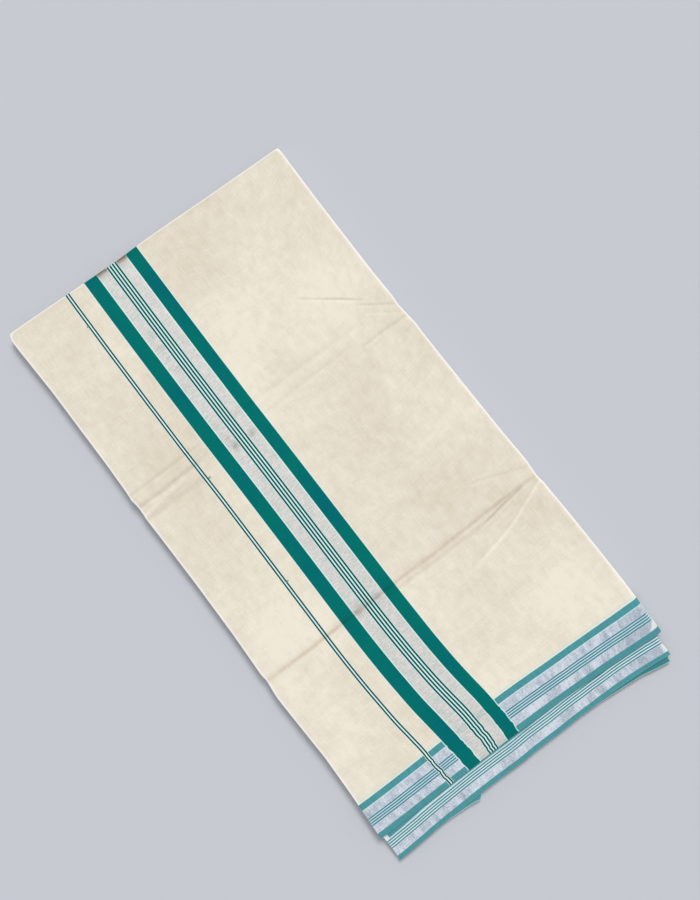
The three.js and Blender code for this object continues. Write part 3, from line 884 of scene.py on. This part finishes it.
def showing_leaf(name, node, place, left, right, hem_table, fold_inset, material):
    """One of the leaves that peek out under the outer leaf's hem. place counts down from the outer leaf."""
    columns_x = graded(hem_table["x"][0], hem_table["x"][-1], FLAT_COLUMN_STEP)
    grid = flat_leaf(
        PACK_HEIGHT - place * PITCH, WALL, CLOTH, left, right,
        lambda x: soft_read(hem_table, "x", "y", x, 3.0), fold_inset, columns_x)
    make_piece(name, node, [grid], material)


def third_right(y):
    """The third leaf's right edge, which draws in at the hem."""
    return pack_right(y) - 8.0 - 2.0 * smoothstep(304, 311, -y)


# The hidden layers from the top one down: how far each one's left edge and its fold lie inside the outer
# leaf's, its hem, and the waver of its edges. The middle ones end at the outer leaf's hem.
HIDDEN_LAYERS = columns("left fold hem waver", [
    (2.1, 0.9, -300.4, 0.4),
    (2.9, 1.3, -299.6, 0.6),
    (2.4, 1.0, -298.7, 0.5),
    (3.9, 2.0, -276.6, 0.7),
    (4.4, 2.4, -275.7, 0.8),
    (3.6, 1.8, -276.9, 0.6),
    (2.6, 1.2, -299.2, 0.5),
    (3.2, 1.6, -298.4, 0.6),
    (2.8, 1.1, -299.7, 0.4),
])
HIDDEN_THICKNESS = 0.55  # of a layer, with the gap below it
HIDDEN_GAP = 0.02
HIDDEN_CLOTH = 0.18
HIDDEN_COLUMNS = 41
LIP_INSET = 8.0
LIP_START, LIP_END = -263.0, -280.0


def hidden_layer(k, left_in, fold_in, hem_y, waver):
    """The grid of one layer, k layers down. Its right edge keeps inside the turn, whose inner face is a half
    circle, and past the outer hem it lies LIP_INSET inside the outer leaf's."""
    top = PACK_HEIGHT - 4 * PITCH - k * HIDDEN_THICKNESS
    furthest = max(abs(top - TURN_RADIUS), abs(TURN_RADIUS - top + HIDDEN_THICKNESS))
    reach = np.sqrt(max(0.0, (TURN_RADIUS - WALL - GAP) ** 2 - furthest**2))

    def left(y):
        return pack_left(y) + left_in + waver * np.sin(y / (31 + 7 * k) + 2 * k)

    def right(y):
        lip = smoothstep(-LIP_START, -LIP_END, -y)
        return pack_right(y) - (TURN_RADIUS - reach) * (1 - lip) - LIP_INSET * lip

    def hem(x):
        return hem_y + waver * np.sin(x / (37 + 5 * k) + k)

    columns_x = np.linspace(-HALF_WIDTH, HALF_WIDTH, HIDDEN_COLUMNS)
    return flat_leaf(top, HIDDEN_THICKNESS - HIDDEN_GAP, HIDDEN_CLOTH, left, right, hem, fold_in, columns_x)


def hidden_layers(material):
    """All the leaves in between, as one piece: a stack of folded layers whose edges show all round."""
    grids = [hidden_layer(k, *layer) for k, layer in enumerate(zip(*HIDDEN_LAYERS.values()))]
    make_piece(
        "hidden_layers_cloth", node="folded_layers",
        grids=grids, material=material)


def build_leaves():
    plain = cloth_finish("bordered_cotton", BORDER_GREEN)
    outer_leaf(cloth_finish("banded_cotton", BORDER_GREEN, has_bands=True))
    showing_leaf(
        "tucked_leaf_cloth", node="tucked_leaf", place=1,
        left=lambda y: pack_left(y) + 6.5, right=lambda y: pack_right(y) - 7.5,
        hem_table=TUCKED_HEM, fold_inset=1.8,
        material=plain)
    showing_leaf(
        "second_leaf_cloth", node="second_leaf", place=2,
        left=lambda y: pack_left(y) + 1.8, right=lambda y: pack_right(y) - 6.4,
        hem_table=SECOND_HEM, fold_inset=1.0,
        material=cloth_finish("frayed_cotton", BORDER_GREEN, fringe=0.12, frayed=True))
    showing_leaf(
        "third_leaf_cloth", node="third_leaf", place=3,
        left=lambda y: np.full_like(y, THIRD_LEFT), right=third_right,
        hem_table=THIRD_HEM, fold_inset=0.7,
        material=cloth_finish("turned_cotton_deep", DEEP_GREEN, fringe=0.6))
    showing_leaf(
        "turned_end_cloth", node="turned_end", place=3,
        left=lambda y: pack_left(y) + 2.3, right=lambda y: read(TURNED_CUT, "y", "x", y),
        hem_table=TURNED_HEM, fold_inset=0.7,
        material=cloth_finish("turned_cotton", BORDER_GREEN, fringe=0.6))
    hidden_layers(plain)


# ---------------------------------------------------------------- floor, light and camera

def build_stage():
    """A plain pale floor, one large soft light with a weaker one across from it, and a pale sky."""
    paint = Paint("floor")
    paint.finish(linear(196, 198, 203), 0.9, 0.0, paint.node("ShaderNodeNewGeometry").outputs["Normal"], {})
    bpy.ops.mesh.primitive_plane_add(size=80, location=(0, 0, 0))
    floor = bpy.context.active_object
    floor.name = "floor"
    floor.data.materials.append(paint.material)

    world = bpy.data.worlds.new("sky")
    bpy.context.scene.world = world
    world.use_nodes = True
    world.node_tree.nodes["Background"].inputs["Color"].default_value = (0.93, 0.96, 1.0, 1)
    world.node_tree.nodes["Background"].inputs["Strength"].default_value = 0.50
    for name, place, strength, softness in (
        ("key", (0.56, 0.54, 0.92), 1.93, 24),
        ("fill", (-0.5, -0.9, 1.2), 0.35, 70),
    ):
        data = bpy.data.lights.new(name, "SUN")
        data.energy = strength
        data.angle = np.radians(softness)
        light = bpy.data.objects.new(name, data)
        light.matrix_world = shining(np.array(place))
        bpy.context.scene.collection.objects.link(light)
    bpy.context.scene.view_settings.view_transform = "Standard"


def shining(place):
    """A placement whose -Z looks from the place at the origin, and whose Y is as upright as it can be."""
    back = place / np.linalg.norm(place)
    right = np.cross([0.0, 0.0, 1.0], back)
    right /= np.linalg.norm(right)
    return placed(place, right, np.cross(back, right), back)


def placed(place, right, up, back):
    """The placement whose X, Y and Z axes are right, up and back."""
    rows = [(*axes, p) for *axes, p in zip(right, up, back, place)]
    return Matrix([*rows, (0, 0, 0, 1)])


CAMERA_PLACE = np.array([-0.0113, -0.0320, 0.8632])
CAMERA_AZIMUTH = np.radians(-36.84)
CAMERA_ELEVATION = np.radians(85.12)
LENS = 36.0
SENSOR = 36.0


def build_camera():
    """Almost straight above the pack, turned so that its folded end points up and to the left."""
    level = np.cos(CAMERA_ELEVATION)
    cos, sin = np.cos(CAMERA_AZIMUTH), np.sin(CAMERA_AZIMUTH)
    back = np.array([sin * level, -cos * level, np.sin(CAMERA_ELEVATION)])
    right = np.array([cos, sin, 0.0])
    data = bpy.data.cameras.new("camera")
    data.lens = LENS
    data.sensor_width = SENSOR
    camera = bpy.data.objects.new("camera", data)
    camera.matrix_world = placed(CAMERA_PLACE, right, np.cross(back, right), back)
    bpy.context.scene.collection.objects.link(camera)
    bpy.context.scene.camera = camera


build_camera()
build_stage()
build_leaves()
